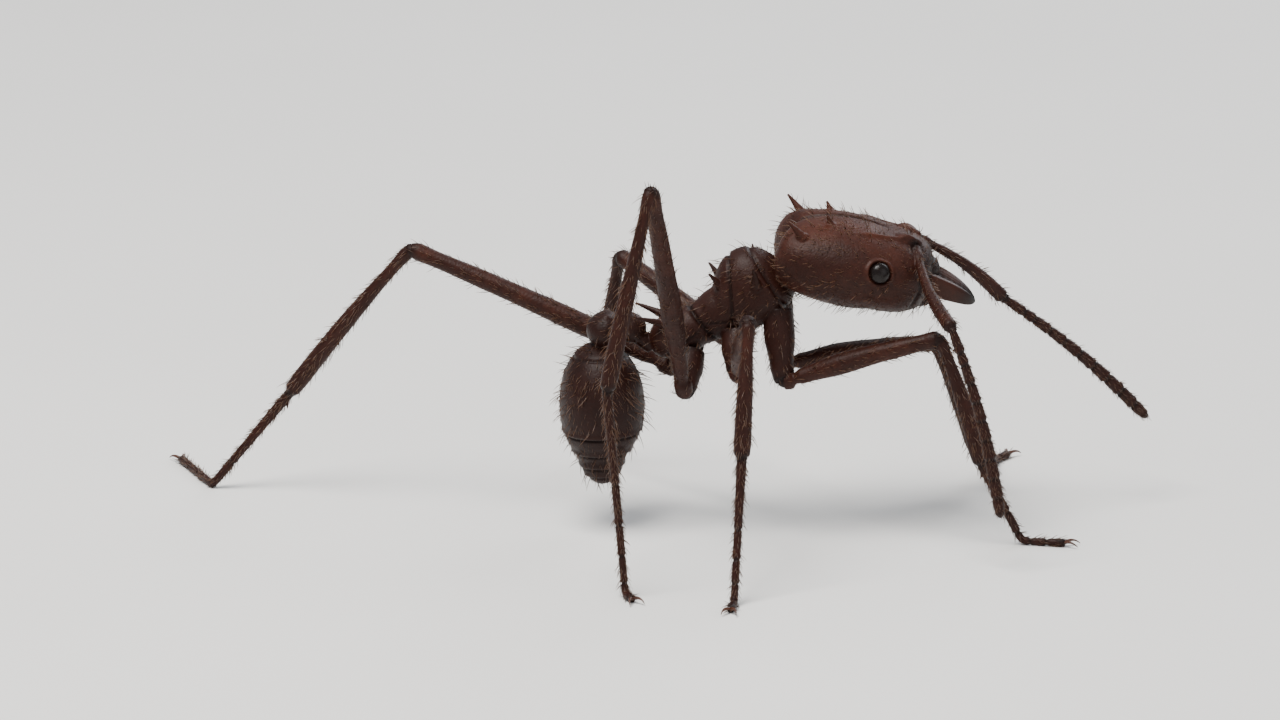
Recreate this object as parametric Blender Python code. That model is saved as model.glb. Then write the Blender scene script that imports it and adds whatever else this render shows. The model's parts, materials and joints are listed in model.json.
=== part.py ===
"""Leafcutter ant: a medium forager worker (genus Atta), standing on its six feet.

The ant faces +X, its left side is +Y, and the floor is z = 0. Lengths below are in millimetres,
and MM turns them into metres. The skeleton is a chain: the waist joint carries the mesosoma, which
carries the six hips, and each leg is a rounded path from its hip to the floor. Neighbouring pieces
are parted by thin cuts.
"""
import math

import bmesh
import bpy
from mathutils import Matrix, Vector

MM = 0.001
CUT = 0.05

# The whole ant is shifted so that its box is centred on the origin.
ANT_SHIFT = Vector((-0.018, 0.118, 0.0))

# Trunk: places of its blocks, and the pitch of each block's nose above the horizontal.
WAIST = Vector((0.0, 0.0, 3.18))
MESOSOMA_PITCH = 27.0
HEAD_CENTRE = Vector((3.52, 0.0, 4.68))
HEAD_PITCH = -12.0
GASTER_TOP = Vector((-0.94, 0.0, 3.24))
GASTER_PITCH = -88.0

# Lobes of a block along its own x axis: centre, half length, half width, rise, drop.
OCCIPUT = -1.24
CLYPEUS = 1.26
OCCIPITAL_LOBE = 0.34
OCCIPUT_ROUNDING = 0.30
ROUNDING_POWER = 2.5
HEAD_LOBES = (
    (-0.18, 1.30, 1.18, 0.80, 0.78),
    (0.82, 0.60, 0.84, 0.64, 0.64),
)
CROWN_FURROW = 0.05
FRONTAL_LOBE = (0.62, 0.25)
FRONTAL_LOBE_REACH = 0.18
FRONTAL_LOBE_HEIGHT = 0.07
NECK_END = 2.48
MESOSOMA_LOBES = (
    (0.55, 0.58, 0.46, 0.46, 0.42),
    (1.40, 0.62, 0.44, 0.50, 0.50),
    (2.02, 0.66, 0.63, 0.92, 0.48),
    (2.45, 0.50, 0.20, 0.18, 0.20),
)
GASTER_LENGTH = 2.48
GASTER_LOBES = (
    (1.00, 1.02, 0.88, 0.78, 0.70),
    (1.62, 0.86, 0.58, 0.48, 0.48),
)
WAIST_ARCH = (Vector((-0.38, 0.0, 3.50)), Vector((-0.78, 0.0, 3.54)))
WAIST_CLEARANCE = 0.20
PETIOLE_END = 0.66
POSTPETIOLE_CLEARANCE = 0.10
PETIOLE_LOBES = (
    (0.25, 0.50, 0.17, 0.16, 0.16),
    (0.30, 0.24, 0.27, 0.32, 0.22),
)
POSTPETIOLE_LOBES = (
    (0.25, 0.50, 0.22, 0.20, 0.20),
    (0.24, 0.28, 0.40, 0.34, 0.26),
)

# Spines: the place on the block, the direction they point, and the length.
HEAD_SPINES = (
    ((-1.10, 0.74, 0.44), (-0.70, 0.30, 0.65), 0.36),
    ((-0.64, 0.42, 0.74), (-0.45, 0.20, 0.85), 0.16),
)
MESOSOMA_SPINES = (
    ((2.12, 0.52, 0.34), (0.35, 0.60, 0.75), 0.42),
    ((1.62, 0.24, 0.60), (-0.10, 0.35, 0.95), 0.28),
    ((0.42, 0.26, 0.34), (-0.62, 0.35, 0.75), 0.48),
)
SPINE_BASE = 0.15
SPINE_TAPER = 0.22

# Mandibles: one toothed blade on each side, closed against the midline.
MANDIBLE_LENGTH = 0.86
MANDIBLE_WIDTH = 0.48
MANDIBLE_THICKNESS = 0.60
MANDIBLE_GAP = 0.04
MANDIBLE_LEVEL = -0.04
MANDIBLE_DROOP = 0.22
MANDIBLE_TEETH = 7
MANDIBLE_NOTCH = 0.07
MANDIBLE_ARC_STEPS = 7

EYE_PLACE = (0.32, 1.12, 0.18)
EYE_NORMAL = (0.28, 1.0, 0.22)
EYE_RADIUS = 0.17
EYE_HEIGHT = 0.11

# Legs: hip on the mesosoma, and the lengths of coxa, femur with trochanter, tibia and tarsus.
HIPS = {
    "front": (2.24, 0.30, -0.30),
    "middle": (1.42, 0.30, -0.36),
    "hind": (0.56, 0.28, -0.30),
}
LEG_LENGTHS = {
    "front": (1.25, 2.83, 2.30, 2.20),
    "middle": (0.80, 2.95, 2.30, 2.80),
    "hind": (0.80, 5.02, 3.50, 3.72),
}
# Azimuth and elevation of coxa, femur and tibia, azimuth of the tarsus and of the toe that lies
# along the floor, all in degrees, and the length of that toe.
LEG_POSES = {
    "front_right": ((-78, -70), (-7.5, 18), (-11, -71.6), 5, -10, 0.75),
    "front_left": ((76, -78), (21, 2.2), (38.7, -66), 78, 60, 0.45),
    "middle_right": ((-88, -50), (-86, 34), (-100, -74), -98, -98, 0.45),
    "middle_left": ((88, -50), (138, 23.3), (110, -72), 100, 96, 0.90),
    "hind_right": ((-100, -50), (-103.2, 59.3), (-140, -74), -53, -70, 0.35),
    "hind_left": ((115, -50), (169.5, 22.5), (164, -51.6), 176, 110, 1.67),
}
LIMB_SIDES = 8
LIMB_RADIUS = 0.25
LIMB_SWELL = 0.03
COXA_RADIUS = 0.33
COXA_CLEARANCE = 0.30
BEND_RADIUS = 0.27
TOE_HEIGHT = LIMB_RADIUS * math.cos(math.pi / 4)
TARSUS_JOINTS = (0.42, 0.60, 0.74, 0.86)
JOINT_NOTCH = 0.16
JOINT_WIDTH = 0.06
CLAW_LENGTH = 0.34
CLAW_SPREAD = 0.20
CLAW_LIFT = 0.03

# Antennae: the socket on the head, then the elbow and the tip.
SOCKET = (0.82, 0.38, 0.97)
SOCKET_CLEARANCE = 0.22
ANTENNA_POSES = {
    "right": (Vector((5.07, -2.45, 4.21)), Vector((5.91, -2.76, 0.95))),
    "left": (Vector((6.00, 1.07, 3.75)), Vector((8.48, 1.60, 1.47))),
}
FUNICULUS_SEGMENTS = 10

CUTICLE = (0.105, 0.033, 0.018, 1.0)
GASTER_CUTICLE = (0.06, 0.02, 0.013, 1.0)
DARK_CUTICLE = (0.045, 0.016, 0.011, 1.0)
LIMB_CUTICLE = (0.125, 0.042, 0.022, 1.0)
EYE_COLOUR = (0.008, 0.007, 0.008, 1.0)

LEFTWARD = Vector((0, 1, 0))
UPWARD = Vector((0, 0, 1))


def pitched(centre, degrees):
    """Matrix of a block at centre whose nose points degrees above +X."""
    return Matrix.Translation(centre) @ Matrix.Rotation(-math.radians(degrees), 4, "Y")


MESOSOMA_FRAME = pitched(WAIST, MESOSOMA_PITCH)
HEAD_FRAME = pitched(HEAD_CENTRE, HEAD_PITCH)
GASTER_FRAME = pitched(GASTER_TOP, GASTER_PITCH)


def mirrored(point, side):
    """The point on the left (side 1) or on the right (side -1)."""
    return Vector((point[0], side * point[1], point[2]))


def heading(azimuth, elevation):
    """Unit vector from an azimuth and an elevation in degrees."""
    turn = math.radians(azimuth)
    lift = math.radians(elevation)
    return Vector((math.cos(lift) * math.cos(turn), math.cos(lift) * math.sin(turn), math.sin(lift)))


def remove_scene_objects():
    """Empty the scene that Blender opens with."""
    for scene_object in list(bpy.data.objects):
        bpy.data.objects.remove(scene_object)


def make_material(name, colour, roughness):
    """Principled material of one colour."""
    material = bpy.data.materials.new(name)
    material.use_nodes = True
    shader = material.node_tree.nodes["Principled BSDF"]
    shader.inputs["Base Color"].default_value = colour
    shader.inputs["Roughness"].default_value = roughness
    shader.inputs["Metallic"].default_value = 0.0
    return material


def add_body(name, shape, material, root, frame=Matrix.Identity(4)):
    """Object from a bmesh in millimetres, placed by its frame and parented to the root."""
    bmesh.ops.recalc_face_normals(shape, faces=shape.faces)
    bmesh.ops.scale(shape, vec=(MM, MM, MM), verts=shape.verts)
    mesh = bpy.data.meshes.new(name)
    shape.to_mesh(mesh)
    shape.free()
    mesh.materials.append(material)
    mesh.shade_smooth()
    body = bpy.data.objects.new(name, mesh)
    bpy.context.scene.collection.objects.link(body)
    body.parent = root
    place = frame.copy()
    place.translation = place.translation * MM
    body.matrix_local = place
    return body


# ---------------------------------------------------------------- surfaces from rings


def ring_of(centre, side, rise, sizes, sides):
    """Ring of points round centre, with a half width, a rise and a drop."""
    half_width, up, down = sizes
    points = []
    for index in range(sides):
        angle = 2 * math.pi * index / sides
        level = math.cos(angle)
        height = level * (up if level > 0 else down)
        points.append(centre + side * (half_width * math.sin(angle)) + rise * height)
    return points


def open_tube(shape, rings):
    """Join rings with quads, and return the rings of vertices."""
    loops = [[shape.verts.new(point) for point in ring] for ring in rings]
    for near, far in zip(loops, loops[1:]):
        for index in range(len(near)):
            after = (index + 1) % len(near)
            shape.faces.new((near[index], near[after], far[after], far[index]))
    return loops


def close_tube(shape, loop, pole=None):
    """Close an end with a flat cap, or with a fan to its pole."""
    if pole is None:
        shape.faces.new(loop)
        return
    tip = shape.verts.new(pole)
    for index in range(len(loop)):
        shape.faces.new((loop[index], loop[(index + 1) % len(loop)], tip))


def closed_tube(rings, start_pole=None, end_pole=None):
    """Closed body through rings."""
    shape = bmesh.new()
    loops = open_tube(shape, rings)
    close_tube(shape, loops[0], start_pole)
    close_tube(shape, loops[-1], end_pole)
    return shape


def lobed_sizes(x, lobes):
    """Half width, rise and drop at x of several ellipsoid lobes blended into one outline."""
    blend = 4.0
    totals = [0.0, 0.0, 0.0]
    for centre, half_length, half_width, up, down in lobes:
        reach = max(0.0, 1.0 - ((x - centre) / half_length) ** 2)
        for index, size in enumerate((half_width, up, down)):
            totals[index] += (size * math.sqrt(reach)) ** blend
    return [total ** (1.0 / blend) for total in totals]


def lobed_block(lobes, start, end, count, sides, round_ends):
    """Closed block along x from start to end, with rings closer together near its ends."""
    rings = []
    middle = (start + end) / 2
    half = (end - start) / 2
    for index in range(count):
        x = middle - half * math.cos(math.pi * (index + 0.5) / count)
        rings.append(ring_of(Vector((x, 0, 0)), LEFTWARD, UPWARD, lobed_sizes(x, lobes), sides))
    poles = [Vector((x, 0, 0)) if is_round else None for x, is_round in zip((start, end), round_ends)]
    return closed_tube(rings, *poles)


def grow_spines(shape, spines):
    """Pull the faces nearest to each place, left and right, out into spines."""
    for place, direction, length in spines:
        for side in (1, -1):
            root = mirrored(place, side)
            face = min(shape.faces, key=lambda item: (item.calc_center_median() - root).length)
            inset = SPINE_BASE * math.sqrt(face.calc_area())
            bmesh.ops.inset_individual(shape, faces=[face], thickness=inset)
            grown = bmesh.ops.extrude_discrete_faces(shape, faces=[face])["faces"][0]
            centre = grown.calc_center_median()
            reach = mirrored(direction, side).normalized() * length
            for vertex in grown.verts:
                vertex.co = centre + (vertex.co - centre) * SPINE_TAPER + reach


# ---------------------------------------------------------------- rounded paths


class RoundedPath:
    """Path through joints whose bends are arcs, with the middle of each arc on its joint."""

    def __init__(self, joints, radius, straight_step=0.42, arc_step=0.13):
        self.points = [joints[0].copy()]
        middles = []
        for before, joint, after in zip(joints, joints[1:], joints[2:]):
            middles.append(self.add_bend(before, joint, after, radius, straight_step, arc_step))
        self.add_straight(joints[-1], straight_step)
        self.lengths = [0.0]
        for near, far in zip(self.points, self.points[1:]):
            self.lengths.append(self.lengths[-1] + (far - near).length)
        self.total = self.lengths[-1]
        self.bends = [self.lengths[index] for index in middles]

    def add_straight(self, end, step):
        """Even points up to end."""
        start = self.points[-1]
        count = max(1, round((end - start).length / step))
        for index in range(1, count + 1):
            self.points.append(start.lerp(end, index / count))

    def add_bend(self, before, joint, after, radius, straight_step, arc_step):
        """Straight run and an arc whose middle is the joint; returns the index of that middle."""
        inward = (before - joint).normalized()
        outward = (after - joint).normalized()
        half_turn = (math.pi - inward.angle(outward)) / 2
        bisector = (inward + outward).normalized()
        corner = joint - bisector * (radius * (1 / math.cos(half_turn) - 1))
        inward = (before - corner).normalized()
        outward = (after - corner).normalized()
        half_turn = (math.pi - inward.angle(outward)) / 2
        bisector = (inward + outward).normalized()
        self.add_straight(corner + inward * (radius * math.tan(half_turn)), straight_step)
        centre = corner + bisector * (radius / math.cos(half_turn))
        spoke = self.points[-1] - centre
        axis = outward.cross(inward)
        half_count = max(1, round(radius * half_turn / arc_step))
        for index in range(1, 2 * half_count + 1):
            swing = Matrix.Rotation(half_turn * index / half_count, 3, axis)
            self.points.append(centre + swing @ spoke)
        return len(self.points) - 1 - half_count

    def at(self, distance):
        """Point and direction of the path at a distance along it."""
        index = 0
        while index < len(self.points) - 2 and self.lengths[index + 1] <= distance:
            index += 1
        run = self.lengths[index + 1] - self.lengths[index]
        share = (distance - self.lengths[index]) / run
        here = self.points[index].lerp(self.points[index + 1], share)
        before = self.points[max(index - 1, 0)]
        ahead = self.points[min(index + 2, len(self.points) - 1)]
        back = (self.points[index + 1] - before).normalized()
        forth = (ahead - self.points[index]).normalized()
        return here, back.lerp(forth, share).normalized()

    def distances(self, start, end, extra=()):
        """Distances of the rings of a piece from start to end, with the extra ones wanted."""
        inner = [s for s in self.lengths if min(abs(s - other) for other in (start, end, *extra)) > 0.07]
        return sorted([start, end, *extra] + [s for s in inner if start < s < end])


def swollen(start, end, base, swell):
    """Radius that grows from base at both ends to base + swell in the middle."""
    return lambda distance: base + swell * math.sin(math.pi * (distance - start) / (end - start))


def tapered(start, end, first, last):
    """Radius that goes evenly from first to last."""
    return lambda distance: first + (last - first) * (distance - start) / (end - start)


def notched(joints, base):
    """Radius that narrows at each joint between the small segments of a limb."""
    def radius(distance):
        nearest = min(abs(distance - joint) for joint in joints)
        return base * (1.0 - JOINT_NOTCH * math.exp(-(nearest / JOINT_WIDTH) ** 2))
    return radius


def across_path(along, side):
    """The side direction, squared up to the path's own direction."""
    return (side - along * side.dot(along)).normalized()


def limb_rings(path, distances, side, radius_at):
    """Rings of a limb piece; whatever would dip under the floor is flattened onto it."""
    rings = []
    for distance in distances:
        here, along = path.at(distance)
        across = across_path(along, side)
        radius = radius_at(distance)
        ring = ring_of(here, across, along.cross(across), (radius, radius, radius), LIMB_SIDES)
        for point in ring:
            point.z = max(point.z, 0.0)
        rings.append(ring)
    return rings


# ---------------------------------------------------------------- trunk


def round_occiput(shape):
    """Round off the back of the head, where its ellipsoid is cut."""
    for vertex in shape.verts:
        ahead = min(1.0, max(0.0, (vertex.co.x - OCCIPUT) / OCCIPUT_ROUNDING))
        share = (1.0 - (1.0 - ahead) ** ROUNDING_POWER) ** (1.0 / ROUNDING_POWER)
        vertex.co.y *= share
        vertex.co.z *= share


def cleave_occiput(shape):
    """Draw the back of the head out at each side, which leaves the cleft of a heart."""
    for vertex in shape.verts:
        depth = min(1.0, max(0.0, (0.3 - vertex.co.x) / 1.1))
        spread = min(1.0, abs(vertex.co.y) / 0.75)
        vertex.co.x -= OCCIPITAL_LOBE * depth ** 2 * spread * (1.6 - 0.6 * spread)


def sculpt_crown(shape):
    """Cut the furrow along the top of the head, and raise the lobes over the feeler sockets."""
    for vertex in shape.verts:
        x, y, z = vertex.co
        if z > 0.2:
            across = abs(y) - FRONTAL_LOBE[1]
            distance = math.hypot(x - FRONTAL_LOBE[0], across) / FRONTAL_LOBE_REACH
            furrow = math.exp(-(y / 0.1) ** 2) * min(1.0, max(0.0, 0.6 - x))
            vertex.co.z += FRONTAL_LOBE_HEIGHT * math.exp(-distance ** 2) - CROWN_FURROW * furrow


def build_head(root, material):
    """Heart-shaped head capsule with its frontal lobes and occipital spines."""
    shape = lobed_block(HEAD_LOBES, OCCIPUT, CLYPEUS, 18, 24, (True, False))
    round_occiput(shape)
    cleave_occiput(shape)
    sculpt_crown(shape)
    grow_spines(shape, HEAD_SPINES)
    add_body("head", shape, material, root, HEAD_FRAME)


def build_mesosoma(root, material):
    """Mesosoma with the neck in front and three pairs of spines on its back."""
    shape = lobed_block(MESOSOMA_LOBES, 0.0, NECK_END, 18, 16, (False, False))
    grow_spines(shape, MESOSOMA_SPINES)
    add_body("mesosoma", shape, material, root, MESOSOMA_FRAME)


def build_waist(root, material):
    """Petiole and postpetiole, which arch back from the mesosoma to the gaster."""
    path = RoundedPath([WAIST, *WAIST_ARCH, GASTER_TOP], 0.20, 0.11, 0.09)
    spans = (("petiole", WAIST_CLEARANCE, PETIOLE_END, PETIOLE_LOBES),
             ("postpetiole", PETIOLE_END + CUT, path.total - POSTPETIOLE_CLEARANCE, POSTPETIOLE_LOBES))
    for name, start, end, lobes in spans:
        rings = []
        for distance in path.distances(start, end):
            here, along = path.at(distance)
            sizes = lobed_sizes(distance - start, lobes)
            rings.append(ring_of(here, -LEFTWARD, along.cross(-LEFTWARD), sizes, 14))
        add_body(name, closed_tube(rings), material, root)


def build_gaster(root, material):
    """Gaster, which hangs from the waist."""
    shape = lobed_block(GASTER_LOBES, 0.0, GASTER_LENGTH, 13, 18, (True, True))
    add_body("gaster", shape, material, root, GASTER_FRAME)


# ---------------------------------------------------------------- head pieces


def mandible_outline():
    """Outline of a blade seen from above: the outer arc, then the toothed inner edge."""
    outline = []
    for index in range(MANDIBLE_ARC_STEPS + 1):
        turn = math.pi / 2 * index / MANDIBLE_ARC_STEPS
        outline.append((MANDIBLE_LENGTH * math.sin(turn), MANDIBLE_WIDTH * max(0.0, math.cos(turn)) ** 0.75))
    for index in range(1, 2 * MANDIBLE_TEETH):
        share = 1.0 - index / (2 * MANDIBLE_TEETH)
        outline.append((MANDIBLE_LENGTH * (0.12 + 0.88 * share), MANDIBLE_NOTCH if index % 2 else 0.0))
    outline.append((0.0, MANDIBLE_NOTCH))
    return outline


def build_mandible(root, material, name, side):
    """Toothed blade of a mandible, thinner and lower towards its tip."""
    shrink_to = (MANDIBLE_LENGTH * 0.30, MANDIBLE_WIDTH * 0.40)
    rings = []
    for level, shrink in ((-0.5, 0.25), (0.0, 0.0), (0.5, 0.25)):
        ring = []
        for x, y in mandible_outline():
            share = x / MANDIBLE_LENGTH
            height = MANDIBLE_THICKNESS * (1.0 - 0.55 * share) * level - MANDIBLE_DROOP * share ** 2
            inner_x = x + max(0.0, x - shrink_to[0]) * -shrink
            inner_y = y + (shrink_to[1] - y) * shrink
            ring.append(Vector((CLYPEUS + CUT + inner_x, side * (MANDIBLE_GAP + inner_y),
                                MANDIBLE_LEVEL + height)))
        rings.append(ring)
    add_body(name, closed_tube(rings), material, root, HEAD_FRAME)


def build_eye(root, material, name, side):
    """Domed compound eye, seated on the side of the head."""
    place = mirrored(EYE_PLACE, side)
    outward = mirrored(EYE_NORMAL, side).normalized()
    across = Vector((1, 0, 0)).cross(outward).normalized()
    rings = []
    for index in range(4):
        turn = math.pi / 2 * index / 4
        radius = EYE_RADIUS * math.cos(turn)
        centre = place + outward * (EYE_HEIGHT * math.sin(turn))
        rings.append(ring_of(centre, across, outward.cross(across), (radius, radius, radius), 12))
    add_body(name, closed_tube(rings, None, place + outward * EYE_HEIGHT), material, root, HEAD_FRAME)


def build_antenna(root, material, side_name, side):
    """Scape and the beaded funiculus beyond its elbow."""
    elbow, tip = ANTENNA_POSES[side_name]
    path = RoundedPath([HEAD_FRAME @ mirrored(SOCKET, side), elbow, tip], BEND_RADIUS)
    bend = path.bends[0]
    scape = (SOCKET_CLEARANCE, bend - CUT / 2)
    rings = limb_rings(path, path.distances(*scape), LEFTWARD, tapered(*scape, LIMB_RADIUS, LIMB_RADIUS))
    add_body(f"scape_{side_name}", closed_tube(rings), material, root)
    start = bend + CUT / 2
    segment = (path.total - start) / FUNICULUS_SEGMENTS
    beads = [start + segment * index for index in range(1, FUNICULUS_SEGMENTS)]
    middles = [bead - segment / 2 for bead in beads]
    distances = sorted([start, *beads, *middles, path.total - LIMB_RADIUS])
    rings = limb_rings(path, distances, LEFTWARD, notched(beads, LIMB_RADIUS + LIMB_SWELL / 2))
    add_body(f"funiculus_{side_name}", closed_tube(rings, None, tip), material, root)


# ---------------------------------------------------------------- legs


def leg_joints(leg):
    """Hip, trochanter, knee, ankle, ball of the foot and toe of a leg."""
    kind, side_name = leg.split("_")
    coxa, femur, tibia, tarsus = LEG_LENGTHS[kind]
    coxa_pose, femur_pose, tibia_pose, tarsus_azimuth, toe_azimuth, toe_length = LEG_POSES[leg]
    hip = MESOSOMA_FRAME @ mirrored(HIPS[kind], 1 if side_name == "left" else -1)
    trochanter = hip + heading(*coxa_pose) * coxa
    knee = trochanter + heading(*femur_pose) * femur
    ankle = knee + heading(*tibia_pose) * tibia
    slope = tarsus - toe_length
    run = math.sqrt(slope ** 2 - (ankle.z - TOE_HEIGHT) ** 2)
    ball = ankle + heading(tarsus_azimuth, 0) * run
    ball.z = TOE_HEIGHT
    return [hip, trochanter, knee, ankle, ball, ball + heading(toe_azimuth, 0) * toe_length]


def add_claws(shape, ring, along, across):
    """Two claws that fork from the last ring of the tarsus."""
    half = LIMB_SIDES // 2
    for sign, first in ((1, 0), (-1, half)):
        tip = shape.verts.new(ring[half].co + along * CLAW_LENGTH + across * (sign * CLAW_SPREAD)
                              + UPWARD * CLAW_LIFT)
        chain = [ring[(first + index) % LIMB_SIDES] for index in range(half + 1)]
        for near, far in zip(chain, chain[1:] + chain[:1]):
            shape.faces.new((near, far, tip))


def build_tarsus(root, material, leg, path, side):
    """Tarsus of five segments, flat where it lies on the floor, with its two claws."""
    ankle = path.bends[2]
    joints = [ankle + (path.total - ankle) * share for share in TARSUS_JOINTS]
    distances = path.distances(ankle + CUT / 2, path.total, joints)
    shape = bmesh.new()
    loops = open_tube(shape, limb_rings(path, distances, side, notched(joints, LIMB_RADIUS)))
    close_tube(shape, loops[0])
    along = path.at(path.total)[1]
    add_claws(shape, loops[-1], along, across_path(along, side))
    add_body(f"tarsus_{leg}", shape, material, root)


def build_leg(root, material, leg):
    """Coxa, femur with trochanter, tibia and tarsus, along one rounded path."""
    joints = leg_joints(leg)
    path = RoundedPath(joints, BEND_RADIUS)
    trochanter, knee, ankle = path.bends[:3]
    ground_run = joints[-1] - joints[0]
    side = Vector((-ground_run.y, ground_run.x, 0)).normalized()
    spans = (
        ("coxa", COXA_CLEARANCE, trochanter - CUT / 2, tapered(0, trochanter, COXA_RADIUS, LIMB_RADIUS)),
        ("femur", trochanter + CUT / 2, knee - CUT / 2, swollen(trochanter, knee, LIMB_RADIUS, LIMB_SWELL)),
        ("tibia", knee + CUT / 2, ankle - CUT / 2, swollen(knee, ankle, LIMB_RADIUS, LIMB_SWELL)),
    )
    for piece, start, end, radius_at in spans:
        rings = limb_rings(path, path.distances(start, end), side, radius_at)
        add_body(f"{piece}_{leg}", closed_tube(rings), material, root)
    build_tarsus(root, material, leg, path, side)


def main():
    """Build the ant, from the trunk out to its feet and feelers."""
    remove_scene_objects()
    root = bpy.data.objects.new("ant", None)
    root.location = ANT_SHIFT * MM
    bpy.context.scene.collection.objects.link(root)
    cuticle = make_material("cuticle", CUTICLE, 0.42)
    abdomen = make_material("gaster", GASTER_CUTICLE, 0.45)
    dark = make_material("mandible", DARK_CUTICLE, 0.30)
    limb = make_material("limb", LIMB_CUTICLE, 0.40)
    eye = make_material("eye", EYE_COLOUR, 0.15)
    build_head(root, cuticle)
    build_mesosoma(root, cuticle)
    build_waist(root, cuticle)
    build_gaster(root, abdomen)
    for side_name, side in (("left", 1), ("right", -1)):
        build_mandible(root, dark, f"mandible_{side_name}", side)
        build_eye(root, eye, f"eye_{side_name}", side)
        build_antenna(root, limb, side_name, side)
    for leg in LEG_POSES:
        build_leg(root, limb, leg)


main()
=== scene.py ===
"""Looks of the leafcutter ant: one skin over the whole body, jaws, eyes, claws and fine bristles.

Lengths are in millimetres until a mesh is handed to Blender, where MM turns them into metres. The
skeleton repeats the one of the solids: the ant faces +X, its left is +Y, and the floor is z = 0.
"""
import json
import math

import bmesh
import bpy
import numpy as np
from mathutils import Matrix, Vector, kdtree

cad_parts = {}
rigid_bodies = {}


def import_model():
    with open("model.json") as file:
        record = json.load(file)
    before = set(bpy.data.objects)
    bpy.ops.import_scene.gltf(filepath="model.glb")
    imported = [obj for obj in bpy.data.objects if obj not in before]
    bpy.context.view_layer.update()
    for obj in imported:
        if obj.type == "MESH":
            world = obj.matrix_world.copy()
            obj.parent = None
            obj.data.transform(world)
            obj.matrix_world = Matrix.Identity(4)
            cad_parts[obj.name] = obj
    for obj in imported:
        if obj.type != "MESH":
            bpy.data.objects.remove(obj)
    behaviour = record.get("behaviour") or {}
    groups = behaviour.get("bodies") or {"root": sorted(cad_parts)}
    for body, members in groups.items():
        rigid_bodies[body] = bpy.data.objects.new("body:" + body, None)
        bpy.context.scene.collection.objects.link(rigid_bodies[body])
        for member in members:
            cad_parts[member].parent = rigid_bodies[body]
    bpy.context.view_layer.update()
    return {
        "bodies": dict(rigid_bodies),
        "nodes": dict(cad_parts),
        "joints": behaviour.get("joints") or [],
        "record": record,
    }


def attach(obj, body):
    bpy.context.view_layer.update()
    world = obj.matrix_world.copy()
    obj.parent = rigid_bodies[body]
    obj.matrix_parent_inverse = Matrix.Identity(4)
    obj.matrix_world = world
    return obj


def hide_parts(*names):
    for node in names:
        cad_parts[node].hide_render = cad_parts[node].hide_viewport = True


MM = 0.001
SEED = 7
VOXEL = 0.0165
SIDES = {"left": 1, "right": -1}
SIDEWAYS = np.array(((0.0, 1.0, 0.0),))
UPWARDS = np.array(((0.0, 0.0, 1.0),))
GOLDEN_ANGLE = np.pi * (3.0 - math.sqrt(5.0))

# ---- skeleton, as in the solids

SHIFT = np.array((-0.018, 0.118, 0.0))
WAIST = (0.0, 0.0, 3.18)
WAIST_ARCH = ((-0.38, 0.0, 3.5), (-0.78, 0.0, 3.54))
GASTER_TOP = (-0.94, 0.0, 3.24)
# Origin of each block, and how far its nose points above +X in degrees.
BLOCK_PLACES = {"mesosoma": (WAIST, 27.0), "head": ((3.52, 0.0, 4.68), -12.0),
                "gaster": (GASTER_TOP, -88.0)}

# Lobes of a block along its own x axis: centre, half length, half width, rise, drop.
OCCIPUT = -1.24
CLYPEUS = 1.26
OCCIPITAL_LOBE = 0.34
OCCIPUT_ROUNDING = 0.3
CLYPEUS_ROUNDING = 0.2
ROUNDING_POWER = 2.5
HEAD_LOBES = ((-0.18, 1.3, 1.16, 0.78, 0.76), (0.82, 0.6, 0.82, 0.62, 0.62))
MESOSOMA_END = 2.48
MESOSOMA_LOBES = (
    (0.55, 0.58, 0.44, 0.44, 0.4),
    (1.4, 0.62, 0.42, 0.48, 0.48),
    (2.02, 0.66, 0.61, 0.9, 0.46),
    (2.45, 0.5, 0.18, 0.16, 0.18),
)
GASTER_LENGTH = 2.48
GASTER_LOBES = ((1.0, 1.02, 0.86, 0.76, 0.68), (1.62, 0.86, 0.56, 0.46, 0.46))
PETIOLE_END = 0.69
WAIST_LOBES = {
    "petiole": ((0.25, 0.6, 0.15, 0.14, 0.14), (0.5, 0.25, 0.25, 0.3, 0.2)),
    "postpetiole": ((0.95, 0.6, 0.15, 0.14, 0.14), (0.97, 0.29, 0.38, 0.32, 0.24)),
}

# Start, end and girth of each block's share of the map.
BLOCK_BANDS = {
    "head": (OCCIPUT - 0.5, CLYPEUS + 0.2, 5.6),
    "mesosoma": (-0.3, MESOSOMA_END + 0.4, 3.2),
    "gaster": (-0.1, GASTER_LENGTH + 0.1, 4.2),
}

# Ellipsoids at the front of the head: centre and half axes.
MOUTHPARTS = ((1.02, 0.0, -0.36), (0.36, 0.32, 0.18))
CLYPEUS_LOBE = ((1.08, 0.0, 0.17), (0.29, 0.4, 0.21))
FRONTAL_LOBE = ((0.7, 0.29, 0.61), (0.28, 0.15, 0.13))
JAW_SOCKET = ((1.08, 0.38, -0.05), (0.22, 0.2, 0.27))

# Spines: root on the block, direction, length and root radius.
HEAD_SPINES = (
    ((-1.1, 0.74, 0.44), (-0.7, 0.3, 0.65), 0.36, 0.085),
    ((-0.64, 0.42, 0.74), (-0.45, 0.2, 0.85), 0.15, 0.06),
)
MESOSOMA_SPINES = (
    ((2.12, 0.5, 0.34), (0.35, 0.6, 0.75), 0.44, 0.09),
    ((1.62, 0.22, 0.5), (-0.1, 0.35, 0.95), 0.28, 0.07),
    ((0.42, 0.24, 0.26), (-0.62, 0.35, 0.75), 0.54, 0.085),
)
SPINE_TIP_RADIUS = 0.02

# Plates of the gaster: where each ends, and the height of its step.
GASTER_PLATES = ((0.18, 0.02), (1.52, 0.045), (1.88, 0.04), (2.14, 0.035), (2.32, 0.03))
WAIST_TUBERCLES = ((-0.42, 0.14, 3.8), (-0.8, 0.22, 3.82))

HIPS = {"front": (2.24, 0.3, -0.3), "middle": (1.42, 0.3, -0.36), "hind": (0.56, 0.28, -0.3)}
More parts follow.
